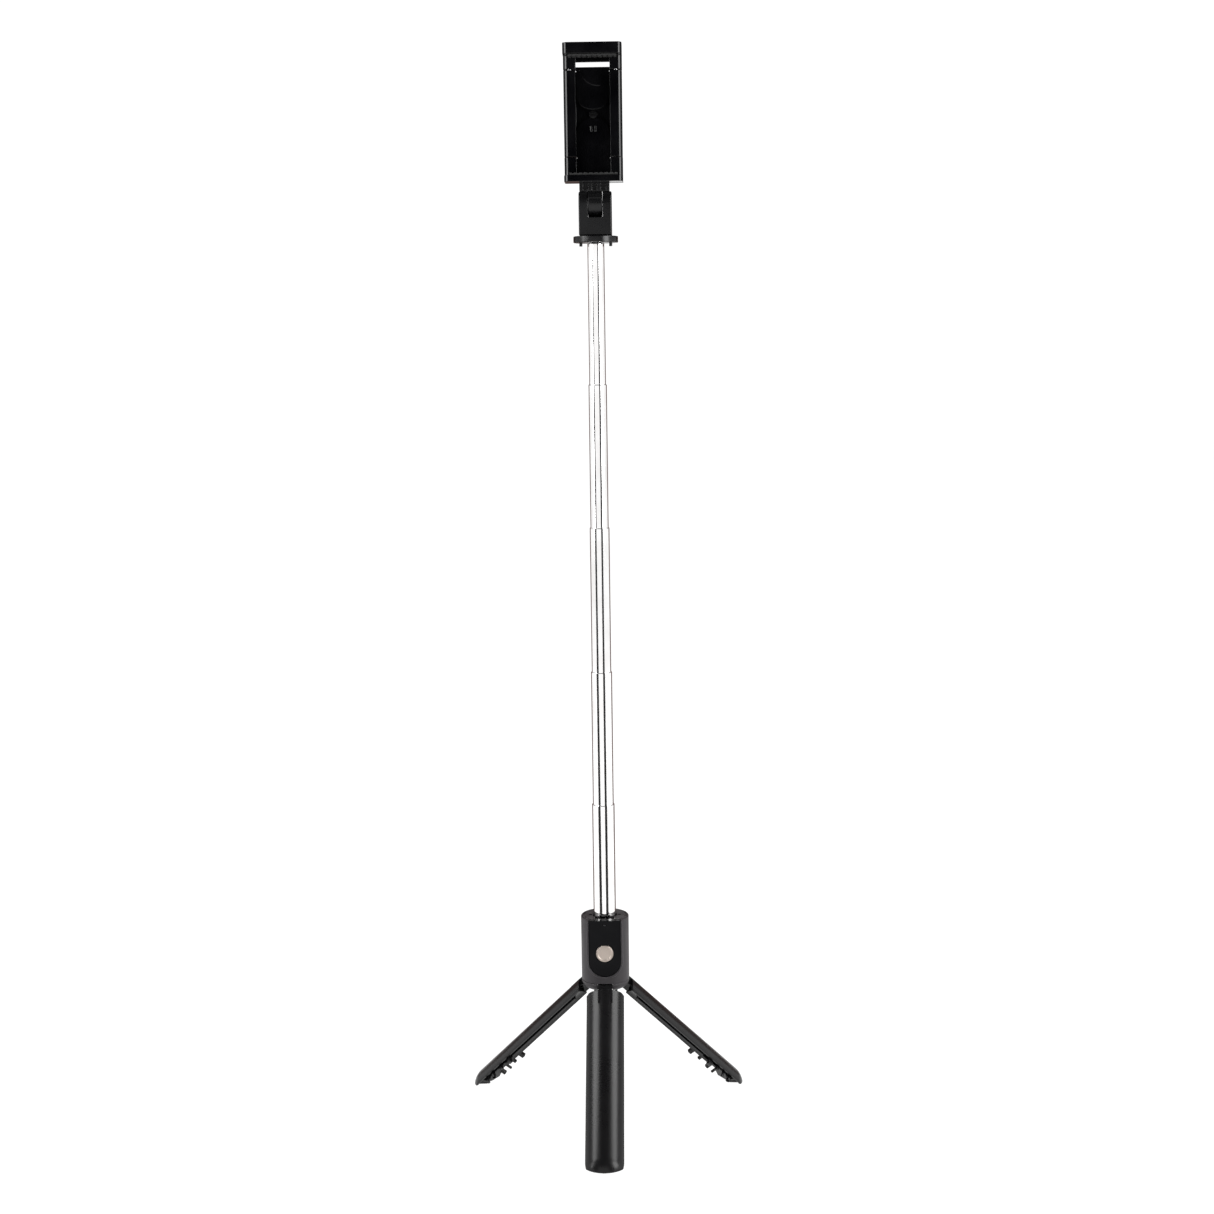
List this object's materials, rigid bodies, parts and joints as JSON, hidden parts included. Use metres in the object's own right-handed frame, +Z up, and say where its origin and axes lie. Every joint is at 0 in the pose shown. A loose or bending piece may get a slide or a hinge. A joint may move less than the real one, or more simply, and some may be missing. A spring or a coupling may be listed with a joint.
{
  "type": "selfie stick",
  "caption": "Telescopic selfie stick with a tilting phone clamp, a remote that docks in the hub, and a handle that opens into tripod legs.",
  "frame": {"origin": "middle of the footprint's bounding box, on the ground under the open legs; the pole's axis stands 21.9 mm behind it", "axes": "+Z up along the pole, -Y towards the front, where the remote's button and the phone are, +X to the right as seen from the front"},
  "size_m": [0.1796, 0.1592, 0.6619],
  "materials": {
    "satin_black": "satin",
    "gloss_black": "gloss",
    "matt_black": "matt",
    "chrome": "polished",
    "steel": "satin",
    "button_metal": "brushed",
    "rubber": "matt",
    "white_plastic": "satin",
    "circuit_board": "satin"
  },
  "bodies": {
    "hub": {"hub_shell": "satin_black", "hub_base": "satin_black", "hub_cap": "satin_black", "tube_collar": "matt_black", "leg_pin_front": "steel", "leg_pin_right": "steel", "leg_pin_left": "steel", "tube_6": "chrome", "end_plug": "matt_black"},
    "leg_front": {"leg_shell_front": "satin_black", "leg_liner_front": "matt_black", "foot_pad_front": "rubber"},
    "leg_right": {"leg_shell_right": "satin_black", "leg_liner_right": "matt_black", "foot_pad_right": "rubber"},
    "leg_left": {"leg_shell_left": "satin_black", "leg_liner_left": "matt_black", "foot_pad_left": "rubber"},
    "section_5": {"tube_5": "chrome", "bush_5": "white_plastic"},
    "section_4": {"tube_4": "chrome", "bush_4": "white_plastic"},
    "section_3": {"tube_3": "chrome", "bush_3": "white_plastic"},
    "section_2": {"tube_2": "chrome", "bush_2": "white_plastic"},
    "section_1": {"tube_1": "chrome", "bush_1": "white_plastic", "tube_plug": "matt_black", "disc_screw": "steel"},
    "head": {"top_disc": "matt_black", "neck_fork": "matt_black", "tilt_screw": "steel", "tilt_washer": "steel", "tilt_nut": "steel"},
    "arm": {"tilt_arm": "matt_black", "swivel_nut": "steel"},
    "clamp": {"clamp_frame": "gloss_black", "jaw_lower": "gloss_black", "jaw_pad_lower": "rubber", "back_pad": "gloss_black", "swivel_screw": "steel", "swivel_washer": "steel", "clamp_spring_left": "steel", "clamp_spring_right": "steel"},
    "upper_jaw": {"jaw_upper": "gloss_black", "jaw_pad_upper": "rubber", "guide_rod_left": "steel", "guide_rod_right": "steel"},
    "remote": {"remote_front": "gloss_black", "remote_back": "matt_black", "battery_door": "matt_black", "coin_cell": "steel", "circuit_board": "circuit_board", "cell_contact": "button_metal", "dome_switch": "steel", "status_led": "white_plastic"},
    "shutter_button": {"remote_button": "button_metal"}
  },
  "joints": [
    {"name": "leg_front_fold", "type": "hinge", "parent": "hub", "child": "leg_front", "pos_m": [0, 0.01054, 0.0882], "axis": [-1, 0, 0], "range_deg": [-45.9, 0]},
    {"name": "leg_right_fold", "type": "hinge", "parent": "hub", "child": "leg_right", "pos_m": [0.00987, 0.02764, 0.0882], "axis": [0.5, -0.866, 0], "range_deg": [-45.9, 0]},
    {"name": "leg_left_fold", "type": "hinge", "parent": "hub", "child": "leg_left", "pos_m": [-0.00987, 0.02764, 0.0882], "axis": [0.5, 0.866, 0], "range_deg": [-45.9, 0]},
    {"name": "section_5_slide", "type": "slide", "parent": "hub", "child": "section_5", "axis": [0, 0, 1], "range_m": [-0.0768, 0]},
    {"name": "section_4_slide", "type": "slide", "parent": "section_5", "child": "section_4", "axis": [0, 0, 1], "range_m": [-0.0839, 0]},
    {"name": "section_3_slide", "type": "slide", "parent": "section_4", "child": "section_3", "axis": [0, 0, 1], "range_m": [-0.0895, 0]},
    {"name": "section_2_slide", "type": "slide", "parent": "section_3", "child": "section_2", "axis": [0, 0, 1], "range_m": [-0.0868, 0]},
    {"name": "section_1_slide", "type": "slide", "parent": "section_2", "child": "section_1", "axis": [0, 0, 1], "range_m": [-0.0822, 0]},
    {"name": "head_swivel", "type": "hinge", "parent": "section_1", "child": "head", "pos_m": [0, 0.02194, 0.55], "axis": [0, 0, 1], "range_deg": [-180, 180]},
    {"name": "head_tilt", "type": "hinge", "parent": "head", "child": "arm", "pos_m": [0, 0.02194, 0.5728], "axis": [1, 0, 0], "range_deg": [-170, 60]},
    {"name": "clamp_spin", "type": "hinge", "parent": "arm", "child": "clamp", "pos_m": [0, 0.00264, 0.6227], "axis": [0, 1, 0], "range_deg": [-90, 90]},
    {"name": "jaw_slide", "type": "slide", "parent": "clamp", "child": "upper_jaw", "axis": [0, 0, 1], "range_m": [0, 0.025], "stiffness_N_per_m": 150, "springref_m": -0.02, "deforming": ["clamp_spring_left", "clamp_spring_right"]},
    {"name": "remote_slide", "type": "slide", "parent": "hub", "child": "remote", "axis": [0, 0, 1], "range_m": [0, 0.038]},
    {"name": "shutter_press", "type": "slide", "parent": "remote", "child": "shutter_button", "axis": [0, 1, 0], "range_m": [0, 0.0004], "stiffness_N_per_m": 2500, "springref_m": -0.0003}
  ]
}
